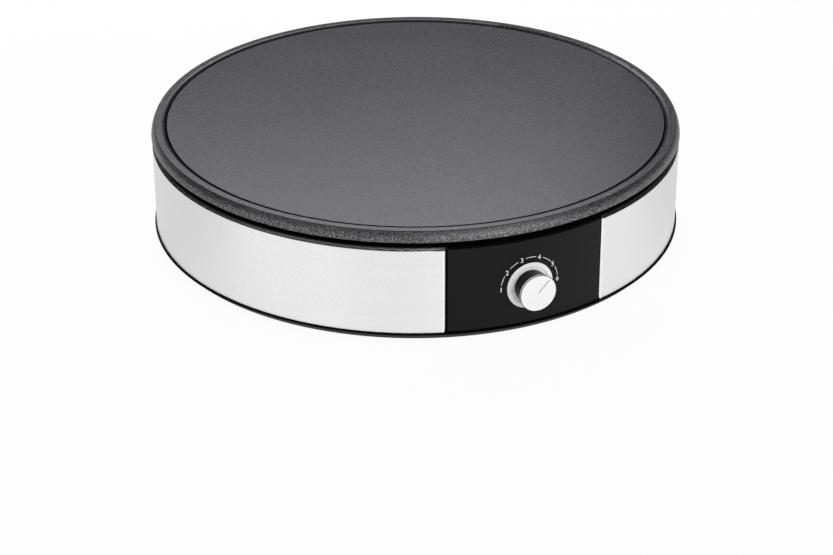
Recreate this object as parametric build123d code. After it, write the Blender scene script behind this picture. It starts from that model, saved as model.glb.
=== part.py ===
from build123d import *
import os
from math import cos, degrees, radians, sin, sqrt

# Electric crepe maker: a round cast plate on a low drum, with one turning knob at the front.
# Millimetres. +Z up, the knob at the front towards -Y, the origin on the table under the plate's centre.
# Angles round the drum run anticlockwise from +X, seen from above.

# --- The stack from the table up ---
foot_height = 1.5           # rubber foot below the base pan
base_edge_height = 4.6      # rim of the base pan that shows below the band
band_height = 56.0          # from that rim up to the shoulder of the steel band
plate_gap = 5.7             # from the band's shoulder up to the plate's skirt
skirt_height = 7.2          # side wall of the cooking plate

base_z = foot_height
band_z = base_z + base_edge_height
band_top_z = band_z + band_height
skirt_z = band_top_z + plate_gap
rim_z = skirt_z + skirt_height

# --- Clearances ---
seat_gap = 0.1              # a piece lying in its curved seat
loose_gap = 0.3             # a piece that drops in or passes through
running_gap = 0.05          # radial, shaft in bearing and screw in its thread
head_gap = 0.4              # radial, screw head in its recess
cutter = 5.0                # how far a cutting shape runs past what it cuts
bite = 0.5                  # how far a rib or post reaches into the wall that it grows from
front = -90.0               # the direction of the knob, in degrees
back = 90.0

# --- The radii, from the outside inwards ---
plate_radius = 173.3        # lower edge of the plate's side wall
band_inset = 0.35           # steel band inside the plate's edge
base_overhang = 1.1         # edge of the base pan outside the band
skirt_flare = 2.2           # the side wall swells out by this much below the rim
rim_break = 0.4             # bevelled outer edge of the rim
rim_land = 4.2              # flat top of the rim
groove_width = 3.7          # catch groove, from the rim to the flat cooking surface
band_sheet = 0.6
base_screw_inset = 8.1      # screws that close the base, inside the housing's wall
lip_reach = 13.6            # top of the housing shell, from its wall to its inner edge
spigot_clear = 2.0          # rib under the plate, inside that edge
spigot_thickness = 3.0
shield_clear = 2.5          # heat shield inside the rib
shield_slope = 4.5          # its sloping wall
foot_inset = 26.05          # axes of the feet inside the base pan's edge
post_inset = 16.0           # axes of the posts inside the shield's floor
block_inset = 36.0          # terminal block inside the shield's floor

band_radius = plate_radius - band_inset
base_radius = band_radius + base_overhang
rim_radius = plate_radius - skirt_flare
surface_radius = rim_radius - rim_break - rim_land - groove_width
shell_radius = band_radius - band_sheet - loose_gap
base_screw_circle = shell_radius - base_screw_inset
lip_inner_radius = shell_radius - lip_reach
spigot_radius = lip_inner_radius - spigot_clear
shield_rim_radius = spigot_radius - spigot_thickness - shield_clear
shield_floor_radius = shield_rim_radius - shield_slope
foot_circle = base_radius - foot_inset
post_circle = shield_floor_radius - post_inset
block_y = shield_floor_radius - block_inset

# --- Cooking plate, cast aluminium ---
surface_drop = 1.0          # cooking surface below the rim
groove_depth = 1.8          # groove below the cooking surface
groove_shoulder = 5.0       # radius of the rounded slope from the groove up to the rim
skirt_sweep = 12.5          # radius of the rounded side wall
skirt_break = 0.5           # bevel at its lower edge
skirt_thickness = 7.0
plate_thickness = 5.5
spigot_depth = 4.2          # rib under the plate that closes the gap to the housing
rib_thickness = 3.0         # radial ribs under the plate
rib_depth = 3.5
rib_count = 10

surface_z = rim_z - surface_drop
under_z = surface_z - plate_thickness

# --- Heating element, a sheathed tube in a cast channel under the plate ---
element_radius = 98.0       # of the loop
element_tube = 8.0          # diameter of the sheath
element_flat = 5.0          # width of the pressed flats along the loop
element_opening = 15.0      # half angle of the loop's gap at the front
end_bend_radius = 12.0      # where the cold ends turn down
end_lead_in = 2.0           # straight run before that bend
end_z = 44.0                # lower end of the sheath
channel_wall = 5.0          # cast wall each side of the element
channel_depth = 6.5         # the walls below the plate's underside
channel_roof = 0.3          # the channel's roof below the plate's underside
channel_run_out = 1.0       # in degrees, the channel beyond the end of its walls
end_window = 8.0            # opening in the heat shield beyond the axes of the cold ends
seal_radius = 4.6           # ceramic end bead
seal_length = 4.5
pin_radius = 1.2
tab_width = 6.3             # flat push-on tabs
tab_thickness = 0.8
tab_length = 8.0
tab_shoulder = 1.0          # pin showing between the bead and the tab

element_z = under_z - channel_roof - seat_gap - element_tube / 2
channel_half = element_tube / 2 + seat_gap + channel_wall
channel_inner_radius = element_radius - channel_half
channel_z = under_z - channel_depth

# --- Element clamps ---
clamp_count = 5
clamp_width = 12.0
clamp_thickness = 1.0
clamp_boss_offset = 18.0    # boss axis outside the loop's centre line
clamp_overhang = 4.0        # strip beyond the boss axis
clamp_lip_inset = 1.0       # turned-up end inside the edge of the channel's wall
clamp_boss_radius = 4.5
m4_radius = 2.0
m4_head_radius = 3.6
m4_head_height = 2.4
m4_clear_radius = 2.25

clamp_z = element_z - element_tube / 2 - seat_gap
clamp_screw_z = clamp_z - clamp_thickness
clamp_screw_length = under_z - loose_gap - clamp_screw_z

# --- Heat shield, plate bosses and spacers ---
shield_wall_height = 6.0
shield_sheet = 0.6
post_count = 4              # plate bosses and spacers
post_start = 45.0
boss_radius = 7.5           # cast plate bosses
boss_depth = 12.5           # below the plate's underside
spacer_radius = 6.0
spacer_wall = 3.0
pan_post_radius = 8.5       # moulded seats for the spacers in the base pan
pan_post_height = 7.2
long_screw_recess = 5.0     # head sunk into the base pan
long_screw_grip = 7.4       # screwed this far into the plate's boss
long_hole_depth = 9.0

shield_z = under_z - boss_depth
long_screw_z = base_z + long_screw_recess
long_screw_length = shield_z + long_screw_grip - long_screw_z

# --- Steel band ---
band_shoulder = 1.6         # bend radius at the top and at the two ends
band_flange = 2.4           # depth of the turned-in top and ends
band_lift = 0.6             # lower edge above the base pan's rim
panel_opening = 17.66       # half angle of the band's opening for the control panel

band_flange_radius = band_radius - band_flange
band_flange_z = band_top_z + band_shoulder

# --- Housing shell, moulded ---
shell_wall = 2.4
lip_thickness = 2.2
lip_return = 4.0            # turned-down inner edge
lip_return_thickness = 2.2
recess_step = 0.2           # panel recess behind the inner edge of the band's ends
recess_margin = 0.35        # half angle of the panel recess beyond the band's opening
recess_side = 1.6           # half angle of material beside the recess
window_half_angle = 11.2    # opening in the recess floor behind the panel
window_low = 5.0            # window above the bottom of the shell
window_high = 6.0           # window below its top

shell_top_z = band_flange_z - band_sheet
shell_corner = band_shoulder - band_sheet
recess_radius = band_flange_radius - recess_step
recess_inner_radius = recess_radius - shell_wall
recess_half_angle = panel_opening + recess_margin

# --- Control panel, moulded ---
panel_sink = 0.2            # face below the band's surface
panel_thickness = 2.2
panel_side_gap = 0.37       # in degrees, to the band's end on each side
panel_low_gap = 0.5         # shadow line above the base pan
panel_corner = 0.5
panel_radius = band_radius - panel_sink
panel_inner_radius = panel_radius - panel_thickness
panel_half_angle = panel_opening - panel_side_gap
panel_top_z = shell_top_z - loose_gap
locating_rib = 1.5          # rib on the panel's back that fits the window
locating_rib_depth = 2.2
bush_pad_margin = 4.0       # pad behind the dish's seat, round the bush
bush_pad_depth = 3.0

# --- Knob and dial ---
knob_z = 31.7               # height of the knob's axis above the table
dial_radius = 15.2          # steel dish round the knob
dial_thickness = 1.4
dial_rim = 2.7              # raised rim of the dish
dial_hollow = 0.5
dial_bevel = 0.2
dial_bore_gap = 0.6         # radial, round the bush
dial_seat = 1.2             # depth of the flat seat cut into the panel, at its middle
knob_gap = 0.5              # knob clear of the dish
knob_root_radius = 10.5
knob_front_radius = 12.0
knob_reach = 11.6           # cap's face in front of the panel
knob_wall = 1.8
knob_hub_radius = 5.2
knob_front_wall = 2.0
cap_thickness = 1.0
cap_bevel = 0.4
pointer_width = 0.5
pointer_depth = 0.3
pointer_start = 0.4
pointer_end = 10.3
pointer_angle = 43.5        # at rest, clockwise from up, seen from the front
shaft_radius = 3.0
shaft_flat = 1.5            # from the axis to the flat of the D
shaft_flat_length = 9.0
shaft_depth = 12.0          # shaft inside the thermostat
shaft_end_gap = 1.0         # behind the shaft's inner end

dial_seat_y = -panel_radius + dial_seat
dial_front_y = dial_seat_y - dial_thickness
dial_floor_y = dial_front_y + dial_hollow
knob_back_y = dial_floor_y - knob_gap
cap_front_y = -panel_radius - knob_reach
knob_front_y = cap_front_y + cap_thickness
shaft_front_y = knob_front_y + knob_front_wall + loose_gap

# --- Thermostat, capillary type, on a bracket that clamps the panel to the shell ---
bracket_inset = 4.5         # front face of the bracket behind the inner face of the recess
bracket_sheet = 1.2
bracket_height = 24.0
bracket_corner = 3.0
bracket_post_x = 26.0       # screw posts on the panel's back
bracket_post_radius = 4.0
bracket_hole_depth = 5.4
st35_radius = 1.75
st35_clear_radius = 1.95
st35_head_radius = 3.2
st35_head_height = 2.0
bush_radius = 4.0
bush_flange_radius = 6.5
bush_flange = 1.0
stat_width = 36.0
stat_height = 34.0
stat_depth = 28.8
stat_corner = 2.0
bellows_radius = 11.0
bellows_depth = 3.0
stat_tab_x = 12.0
stat_tab_drop = 11.7        # tabs below the shaft
capillary = 1.5             # diameter of the capillary tube
capillary_bend = 8.0
capillary_pass = 2.3        # the tube turns aside this far behind the element's cold ends
capillary_reach = 16.0      # from the bulb's end to where the tube passes down through the shield
bulb_radius = 3.0
bulb_length = 60.0
bulb_inset = 18.9           # bulb inside the element's channel
rod_bevel = 0.8             # at the ends of the bulb and of the fuse

dial_bore_radius = bush_radius + dial_bore_gap
bracket_y = -recess_inner_radius + bracket_inset
bracket_screw_length = bracket_sheet + bracket_hole_depth - loose_gap
stat_front_y = bracket_y + bracket_sheet
stat_back_y = stat_front_y + stat_depth
stat_tab_z = knob_z - stat_tab_drop
bulb_y = bulb_inset - channel_inner_radius
bulb_z = under_z - seat_gap - bulb_radius
capillary_x = bulb_length / 2 + capillary_reach

# --- Bulb clip and thermal fuse ---
clip_sheet = 0.8
clip_width = 10.0
clip_foot = 9.0             # flat foot of a clip, with its screw hole
clip_boss_radius = 4.0
clip_boss_depth = 3.0
fuse_radius = 4.0
fuse_length = 20.0
fuse_inset = 22.1           # fuse inside the element's channel
fuse_angle = 219.0

fuse_circle = channel_inner_radius - fuse_inset
fuse_x = fuse_circle * cos(radians(fuse_angle))
fuse_y = fuse_circle * sin(radians(fuse_angle))
fuse_z = under_z - seat_gap - fuse_radius
clip_screw_length = clip_sheet + clip_boss_depth - loose_gap

# --- Base pan, feet and the screws that close it ---
base_floor = 2.4
base_lip = 0.7              # upright part of the rim that shows
base_tuck = 4.0             # below it the side slopes in by this much
base_spigot_height = 5.0
base_spigot_wall = 2.2
pan_rib_height = 5.0
pan_rib_thickness = 1.8
pan_rib_count = 12
pan_rib_inner = 52.0
vent_circle = 84.0
vent_length = 26.0
vent_width = 4.0
vent_count = 12
foot_radius = 10.0
foot_taper = 1.0
foot_seat = 0.8             # recess under the pan
foot_stem_radius = 3.0
foot_barb_radius = 4.2
foot_barb_height = 2.2
foot_barb_taper = 1.7
base_screw_start = post_start / 2
base_screw_count = 4
base_boss_radius = 4.5
base_pad_margin = 1.0       # pad round the foot of a screw boss
base_pad_rise = 0.6         # and its top above the pan's rim
base_boss_height = 20.0
base_screw_length = 15.0
base_screw_recess = 2.8
web_thickness = 2.0
notch_margin = 2.5          # spigot cut away each side of a screw boss
recess_clear = 0.3          # in degrees, spigot cut away beside the panel recess
block_post_radius = 3.5     # posts under the terminal block
block_post_x = 12.0

spigot_outer = shell_radius - shell_wall - loose_gap
spigot_inner = spigot_outer - base_spigot_wall
floor_z = base_z + base_floor
pan_post_z = floor_z + pan_post_height
base_pad_z = band_z + base_pad_rise

# --- Cord gland at the back, without its cord ---
gland_z = 24.0
gland_bore_radius = 3.6
gland_neck_radius = 6.9
gland_flange_radius = 9.5
gland_flange = 2.4
gland_collar_radius = 6.4   # collar behind the flange, tapering to its mouth
gland_mouth_radius = 5.6
gland_collar = 4.2
gland_inner_flange_radius = 8.2
gland_inner_flange = 2.2
gland_bevel = 0.8

# --- Terminal block, leads and earth ---
block_width = 34.0
block_depth = 16.0
block_height = 14.0
block_pitch = 10.0
insert_width = 5.0
insert_length = 13.0
insert_height = 7.0
insert_hole_radius = 1.4
block_hole_radius = 1.8
block_bevel = 1.0
lead = 2.4                  # diameter of an insulated lead
lead_bend = 9.0
lead_turn = 0.55            # leads turn aside this share of the way from the thermostat to the cold ends
lead_slope = 20.0           # length of the live lead's slope
earth_lead_run = 30.0       # straight out of the terminal block
earth_x = 52.0
earth_y = 40.0
earth_boss_depth = 6.0

block_entry = 5.0           # leads reach this far into the block
earth_strip = 12.0          # from the earth screw to the lug
earth_lug = 5.0
shield_pass_radius = 4.0    # holes in the shield that tubes and leads pass through
fuse_lead_run = 16.0        # leads run straight out of the fuse for this far

block_low_z = floor_z + pan_rib_height
block_lead_z = block_low_z + block_height / 2
tab_low_z = end_z - seal_length - tab_shoulder - tab_length
stat_tab_y = stat_back_y + tab_length
fuse_front_y = fuse_y - fuse_length / 2 - fuse_lead_run
fuse_back_y = fuse_y + fuse_length / 2 + fuse_lead_run
earth_lug_x = earth_x + earth_strip - tab_thickness / 2
earth_low_z = under_z - earth_boss_depth
earth_screw_length = tab_thickness + earth_boss_depth - loose_gap


# --- Shapes that come up again and again ---
def disc(radius, low, high):
    return Pos(0, 0, (low + high) / 2) * Cylinder(radius, high - low)


def ring(inner, outer, low, high):
    return disc(outer, low, high) - disc(inner, low - cutter, high + cutter)


def block(x0, x1, y0, y1, z0, z1):
    return Pos((x0 + x1) / 2, (y0 + y1) / 2, (z0 + z1) / 2) * Box(x1 - x0, y1 - y0, z1 - z0)


def sector(inner, outer, low, high, start, end):
    section = Pos((inner + outer) / 2, (low + high) / 2) * Rectangle(outer - inner, high - low)
    return Rot(0, 0, start) * revolve(Plane.XZ * section, Axis.Z, end - start)


def turned(*points):
    # A solid turned about Z from an outline of (radius, height) points.
    return revolve(Plane.XZ * make_face(Polyline(*points, close=True)), Axis.Z)


def forward(shape):
    # Turns a shape built along +Z to run along -Y, out through the front of the drum.
    return Pos(0, 0, knob_z) * Rot(90, 0, 0) * shape


def polar(radius, angle):
    return radius * cos(radians(angle)), radius * sin(radians(angle))


def around(shape, radius, count, start):
    # Copies of a shape on a circle, each turned to face outwards.
    step = 360.0 / count
    return [Rot(0, 0, start + step * i) * Pos(radius, 0, 0) * shape for i in range(count)]


def screw(shank, length, head, head_height):
    # Points up: the head hangs below zero and the shank stands above it.
    bevel = head_height / 4
    body = chamfer(disc(head, -head_height, 0).edges().group_by(Axis.Z)[0], bevel)
    slot = Pos(0, 0, bevel - head_height) * Box(head, bevel, 2 * bevel)
    return body + disc(shank, 0, length) - slot


def outer_edges(shape, radius):
    # The edges that lie on an upright cylinder of this radius.
    return [e for e in shape.edges() if min(sqrt(v.X ** 2 + v.Y ** 2) for v in e.vertices()) > radius - 0.1]


def wire_tube(points, diameter, bend):
    # A round tube along straight runs joined by tangent arcs.
    path = FilletPolyline(*points, radius=bend)
    start = Plane(origin=path @ 0, z_dir=path % 0)
    return sweep(start * Circle(diameter / 2), path)


# --- Cooking plate ---
def plate_blank():
    groove_z = surface_z - groove_depth
    rim_start = surface_radius + groove_width
    skirt_inner = plate_radius - skirt_thickness
    outline = [
        Polyline((0, under_z), (0, surface_z), (surface_radius, surface_z), (surface_radius, groove_z)),
        RadiusArc((surface_radius, groove_z), (rim_start, rim_z), groove_shoulder),
        Polyline((rim_start, rim_z), (rim_radius - rim_break, rim_z), (rim_radius, rim_z - rim_break)),
        RadiusArc((rim_radius, rim_z - rim_break), (plate_radius, skirt_z + skirt_break), skirt_sweep),
        Polyline(
            (plate_radius, skirt_z + skirt_break),
            (plate_radius - skirt_break, skirt_z),
            (skirt_inner, skirt_z),
            (skirt_inner, under_z),
            (0, under_z),
        ),
    ]
    return revolve(Plane.XZ * make_face(outline), Axis.Z)


def element_channel_cut():
    half = element_tube / 2 + seat_gap
    opening = element_opening - channel_run_out
    roof = under_z - channel_roof
    return sector(
        element_radius - half, element_radius + half, channel_z - cutter, roof,
        front + opening, front + 360 - opening,
    )


def cooking_plate():
    plate = plate_blank()
    plate += ring(spigot_radius - spigot_thickness, spigot_radius, under_z - spigot_depth, under_z)
    opening = front + element_opening
    plate += sector(
        channel_inner_radius, element_radius + channel_half, channel_z, under_z,
        opening, opening + 360 - 2 * element_opening,
    )
    # Ribs run from the channel out to the spigot, clear of the screw bosses.
    rib_start = element_radius + channel_half - bite
    rib_end = spigot_radius - spigot_thickness + bite
    rib = block(rib_start, rib_end, -rib_thickness / 2, rib_thickness / 2, under_z - rib_depth, under_z)
    plate += around(rib, 0, rib_count, front + 180 / rib_count)
    plate += around(disc(boss_radius, shield_z, under_z), post_circle, post_count, post_start)
    plate += around(
        disc(clamp_boss_radius, clamp_z, under_z), element_radius + clamp_boss_offset, clamp_count, back,
    )
    plate += clip_bosses(clip_boss_radius)
    plate += Pos(earth_x, earth_y, 0) * disc(clip_boss_radius, earth_low_z, under_z)
    plate -= element_channel_cut()
    # Screw holes stop inside the metal.
    thread = m4_radius + running_gap
    long_hole = disc(thread, shield_z - cutter, shield_z + long_hole_depth)
    plate -= around(long_hole, post_circle, post_count, post_start)
    plate -= around(
        disc(thread, clamp_z - cutter, under_z), element_radius + clamp_boss_offset, clamp_count, back,
    )
    small_thread = st35_radius + running_gap
    plate -= clip_bosses(small_thread, past=cutter)
    plate -= Pos(earth_x, earth_y, 0) * disc(small_thread, earth_low_z - cutter, under_z)
    return plate


# --- Heating element ---
def element_end_origin(side):
    return polar(element_radius, front + side * element_opening)


def element_end_drop(side):
    # The point over which a cold end hangs, side +1 to the right and -1 to the left.
    x, y = element_end_origin(side)
    along = front + side * element_opening - side * 90
    run = end_lead_in + end_bend_radius
    return x + run * cos(radians(along)), y + run * sin(radians(along))


def heating_element():
    # Along the loop the sheath is pressed to an eight-sided section that beds in the channel.
    half = element_tube / 2
    flat = element_flat / 2
    corners = [(half, flat), (flat, half), (-flat, half), (-half, flat)]
    corners += [(-x, -z) for x, z in corners]
    section = Pos(element_radius, element_z) * make_face(Polyline(*corners, close=True))
    start = front + element_opening
    loop = Rot(0, 0, start) * revolve(Plane.XZ * section, Axis.Z, 360 - 2 * element_opening)
    for side in (1, -1):
        x, y = element_end_origin(side)
        drop_x, drop_y = element_end_drop(side)
        loop += wire_tube(
            [(x, y, element_z), (drop_x, drop_y, element_z), (drop_x, drop_y, end_z)],
            element_tube, end_bend_radius,
        )
    return loop


def element_seal(side):
    x, y = element_end_drop(side)
    return Pos(x, y, 0) * ring(pin_radius + seat_gap, seal_radius, end_z - seal_length, end_z)


def element_tab(side):
    x, y = element_end_drop(side)
    tab_top = end_z - seal_length - tab_shoulder
    pin = disc(pin_radius, tab_top - bite, end_z)
    blade = block(
        -tab_width / 2, tab_width / 2, -tab_thickness / 2, tab_thickness / 2,
        tab_top - tab_length, tab_top,
    )
    return Pos(x, y, 0) * (pin + blade)


def element_clamp(index):
    # A strip under the element, screwed to its boss, with its inner end turned up to the channel wall.
    inner = channel_inner_radius + clamp_lip_inset
    axis = element_radius + clamp_boss_offset
    strip = block(
        inner, axis + clamp_overhang, -clamp_width / 2, clamp_width / 2,
        clamp_screw_z, clamp_z,
    )
    strip += block(
        inner, inner + clamp_thickness, -clamp_width / 2, clamp_width / 2,
        clamp_screw_z, channel_z - seat_gap,
    )
    strip -= Pos(axis, 0, 0) * disc(m4_clear_radius, clamp_z - cutter, clamp_z + cutter)
    return Rot(0, 0, back + 360.0 / clamp_count * index) * strip


def clamp_screws():
    one = Pos(0, 0, clamp_screw_z) * screw(
        m4_radius, clamp_screw_length, m4_head_radius, m4_head_height
    )
    return around(one, element_radius + clamp_boss_offset, clamp_count, back)


# --- Heat shield and its posts ---
def heat_shield():
    top = shield_z + shield_wall_height
    low = shield_z - shield_sheet
    shield = turned(
        (0, low),
        (shield_floor_radius, low),
        (shield_rim_radius, top),
        (shield_rim_radius - shield_sheet, top),
        (shield_floor_radius - shield_sheet / 2, shield_z),
        (0, shield_z),
    )
    hole = disc(m4_clear_radius, low - cutter, shield_z + cutter)
    shield -= around(hole, post_circle, post_count, post_start)
    drop_x, drop_y = element_end_drop(1)
    window_x = abs(drop_x) + end_window
    shield -= block(
        -window_x, window_x, drop_y - end_window, drop_y + end_window, low - cutter, shield_z + cutter
    )
    passing = disc(shield_pass_radius, low - cutter, shield_z + cutter)
    for x, y in [
        (capillary_x, bulb_y), (fuse_x, fuse_front_y), (fuse_x, fuse_back_y), (earth_lug_x, earth_y)
    ]:
        shield -= Pos(x, y, 0) * passing
    return shield


def spacer(index):
    low, high = pan_post_z, shield_z - shield_sheet
    tube = ring(spacer_radius - spacer_wall, spacer_radius, low, high)
    return Rot(0, 0, post_start + 360.0 / post_count * index) * Pos(post_circle, 0, 0) * tube


def plate_screws():
    one = Pos(0, 0, long_screw_z) * screw(
        m4_radius, long_screw_length, m4_head_radius, m4_head_height
    )
    return around(one, post_circle, post_count, post_start)


# --- Steel band ---
def bent_sector(outer, low, high, start, end, bend):
    # A sector with its top and its two ends rounded at the outside.
    shape = sector(band_flange_radius - cutter, outer, low, high, start, end)
    return fillet([e for e in outer_edges(shape, outer) if e.center().Z > low + bend], bend)


def side_band():
    # A drawn shell: outer skin, turned-in top and turned-in ends, all one sheet thick.
    low = band_z + band_lift
    start = front + panel_opening
    end = start + 360 - 2 * panel_opening
    skin = bent_sector(band_radius, low, band_flange_z, start, end, band_shoulder)
    sheet_angle = degrees(band_sheet / band_radius)
    hollow = bent_sector(
        band_radius - band_sheet, low - cutter, band_flange_z - band_sheet,
        start + sheet_angle, end - sheet_angle, band_shoulder - band_sheet,
    )
    return (skin - hollow) & ring(band_flange_radius, band_radius + cutter, low, rim_z) - gland_hole()


def gland_hole():
    return Pos(0, band_radius, gland_z) * Rot(90, 0, 0) * Cylinder(gland_neck_radius + seat_gap, 4 * cutter)


# --- Housing shell ---
def shell_boss():
    # Screw boss inside the wall, with the web that ties it to the wall.
    top = base_pad_z + base_boss_height
    boss = disc(base_boss_radius, base_pad_z, top)
    reach = shell_radius - shell_wall / 2 - base_screw_circle
    boss += block(0, reach, -web_thickness / 2, web_thickness / 2, base_pad_z, top)
    return boss - disc(st35_radius + running_gap, base_pad_z - cutter, base_pad_z + base_screw_length)


def housing_shell():
    wall_inner = shell_radius - shell_wall
    recess_low, recess_high = front - recess_half_angle, front + recess_half_angle
    shell = ring(wall_inner, shell_radius, band_z, shell_top_z)
    shell += ring(lip_inner_radius, shell_radius, shell_top_z - lip_thickness, shell_top_z)
    shell += ring(
        lip_inner_radius, lip_inner_radius + lip_return_thickness,
        shell_top_z - lip_thickness - lip_return, shell_top_z - lip_thickness,
    )
    # The wall steps in at the front to seat the control panel.
    shell += sector(
        recess_inner_radius, shell_radius, band_z, shell_top_z,
        recess_low - recess_side, recess_high + recess_side,
    )
    shell -= sector(
        recess_radius, shell_radius + cutter, band_z - cutter, shell_top_z + cutter, recess_low, recess_high
    )
    shell -= sector(
        recess_inner_radius - cutter, recess_radius + cutter, band_z + window_low, shell_top_z - window_high,
        front - window_half_angle, front + window_half_angle,
    )
    shell += around(shell_boss(), base_screw_circle, base_screw_count, base_screw_start)
    # The outer corner of the top follows the bend of the band.
    envelope = disc(shell_radius, band_z, shell_top_z)
    shell = shell & chamfer(envelope.edges().group_by(Axis.Z)[-1], shell_corner)
    return shell - gland_hole()


# --- Control panel ---
def control_panel():
    low = band_z + panel_low_gap
    panel = sector(
        panel_inner_radius, panel_radius, low, panel_top_z, front - panel_half_angle, front + panel_half_angle
    )
    panel = fillet(outer_edges(panel, panel_radius), panel_corner)
    # A rib on the back fits the window in the shell.
    gap_angle = degrees(loose_gap / panel_inner_radius)
    rib_angle = degrees(locating_rib / panel_inner_radius)
    rib_low, rib_high = band_z + window_low + loose_gap, shell_top_z - window_high - loose_gap
    rib_inner = panel_inner_radius - locating_rib_depth
    edge = window_half_angle - gap_angle
    frame = sector(rib_inner, panel_inner_radius + bite, rib_low, rib_high, front - edge, front + edge)
    frame -= sector(
        rib_inner - cutter, panel_inner_radius + cutter, rib_low + locating_rib, rib_high - locating_rib,
        front - edge + rib_angle, front + edge - rib_angle,
    )
    panel += frame
    # Posts for the thermostat's bracket stand on the back.
    for x in (-bracket_post_x, bracket_post_x):
        post = Pos(x, 0, 0) * disc(bracket_post_radius, -bracket_y, panel_radius)
        hole = Pos(x, 0, 0) * disc(
            st35_radius + running_gap, -bracket_y - cutter, -bracket_y + bracket_hole_depth
        )
        panel += forward(post) & disc(panel_inner_radius + bite, base_z, rim_z)
        panel -= forward(hole)
    # Round flat seat for the dish and the hole for the bush.
    panel -= forward(disc(dial_radius + seat_gap, -dial_seat_y, panel_radius + cutter))
    bush_hole = bush_radius + loose_gap
    pad_z = -dial_seat_y - bush_pad_depth
    panel += forward(ring(bush_hole, bush_radius + bush_pad_margin, pad_z, -dial_seat_y))
    return panel - forward(disc(bush_hole, pad_z - cutter, panel_radius + cutter))


# --- Dial dish, knob and shaft ---
def dial_dish():
    floor = -dial_floor_y
    return forward(
        turned(
            (dial_bore_radius, -dial_seat_y),
            (dial_radius, -dial_seat_y),
            (dial_radius, -dial_front_y - dial_bevel),
            (dial_radius - dial_bevel, -dial_front_y),
            (dial_radius - dial_rim, -dial_front_y),
            (dial_radius - dial_rim - dial_hollow, floor),
            (dial_bore_radius, floor),
        )
    )


def shaft_section(gap):
    return Circle(shaft_radius + gap) - Pos(0, shaft_flat + gap + shaft_radius) * Rectangle(
        4 * shaft_radius, 2 * shaft_radius
    )


def knob_body():
    back_z, front_z = -knob_back_y, -knob_front_y
    body = turned(
        (0, back_z),
        (knob_root_radius, back_z),
        (knob_front_radius, front_z),
        (0, front_z),
    )
    hollow = turned(
        (knob_hub_radius, back_z - cutter),
        (knob_root_radius - knob_wall, back_z - cutter),
        (knob_root_radius - knob_wall, front_z - knob_front_wall),
        (knob_hub_radius, front_z - knob_front_wall),
    )
    shaft_hole = Pos(0, 0, back_z - cutter) * extrude(
        shaft_section(running_gap), -shaft_front_y + loose_gap - back_z + cutter
    )
    return forward(Rot(0, 0, -pointer_angle) * (body - hollow - shaft_hole))


def knob_cap():
    cap = chamfer(
        disc(knob_front_radius, -knob_front_y, -cap_front_y).edges().group_by(Axis.Z)[-1], cap_bevel
    )
    pointer = block(
        -pointer_width / 2, pointer_width / 2, pointer_start, pointer_end,
        -cap_front_y - pointer_depth, -cap_front_y + cutter,
    )
    return forward(Rot(0, 0, -pointer_angle) * (cap - pointer))


def thermostat_shaft():
    back_z, front_z = -stat_front_y - shaft_depth, -shaft_front_y
    shaft = disc(shaft_radius, back_z, front_z - shaft_flat_length)
    shaft += Pos(0, 0, front_z - shaft_flat_length) * extrude(shaft_section(0), shaft_flat_length)
    return forward(Rot(0, 0, -pointer_angle) * shaft)


# --- Thermostat ---
def thermostat_bush():
    bore = shaft_radius + running_gap
    tube = ring(bore, bush_radius, -stat_front_y, -dial_floor_y)
    return forward(tube + ring(bore, bush_flange_radius, -stat_front_y - bush_flange, -stat_front_y))


def thermostat_bracket():
    half = bracket_height / 2
    reach = sqrt(recess_inner_radius ** 2 - bracket_y ** 2) - loose_gap
    plate = block(-reach, reach, -half, half, -stat_front_y, -bracket_y)
    plate = fillet(plate.edges().filter_by(Axis.Z), bracket_corner)
    plate -= disc(bush_radius + seat_gap, -stat_front_y - cutter, -bracket_y + cutter)
    for x in (-bracket_post_x, bracket_post_x):
        plate -= Pos(x, 0, 0) * disc(st35_clear_radius, -stat_front_y - cutter, -bracket_y + cutter)
    return forward(plate)


def thermostat_screws():
    one = Pos(0, 0, -stat_front_y) * screw(
        st35_radius, bracket_screw_length, st35_head_radius, st35_head_height
    )
    return [forward(Pos(x, 0, 0) * one) for x in (-bracket_post_x, bracket_post_x)]


def thermostat_body():
    body = block(
        -stat_width / 2, stat_width / 2, -stat_height / 2, stat_height / 2, -stat_back_y, -stat_front_y
    )
    body = fillet(body.edges().filter_by(Axis.Z), stat_corner)
    body += disc(bellows_radius, -stat_back_y - bellows_depth, -stat_back_y)
    body -= disc(bush_flange_radius + seat_gap, -stat_front_y - bush_flange, -stat_front_y + cutter)
    body -= disc(shaft_radius + loose_gap, -stat_front_y - shaft_depth - shaft_end_gap, -stat_front_y)
    return forward(body)


def thermostat_tab(side):
    x = side * stat_tab_x
    return block(
        x - tab_width / 2, x + tab_width / 2, stat_back_y, stat_back_y + tab_length,
        stat_tab_z - tab_thickness / 2, stat_tab_z + tab_thickness / 2,
    )


def sensor_bulb():
    rod = Cylinder(bulb_radius, bulb_length)
    rod = chamfer(rod.edges(), rod_bevel)
    return Pos(0, bulb_y, bulb_z) * Rot(0, 90, 0) * rod


def capillary_tube():
    start = (bulb_length / 2, bulb_y, bulb_z)
    turn_y = element_end_drop(1)[1] + capillary_pass
    return wire_tube(
        [
            start,
            (capillary_x, bulb_y, bulb_z),
            (capillary_x, bulb_y, knob_z),
            (0, turn_y, knob_z),
            (0, stat_back_y + bellows_depth, knob_z),
        ],
        capillary, capillary_bend,
    )


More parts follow.
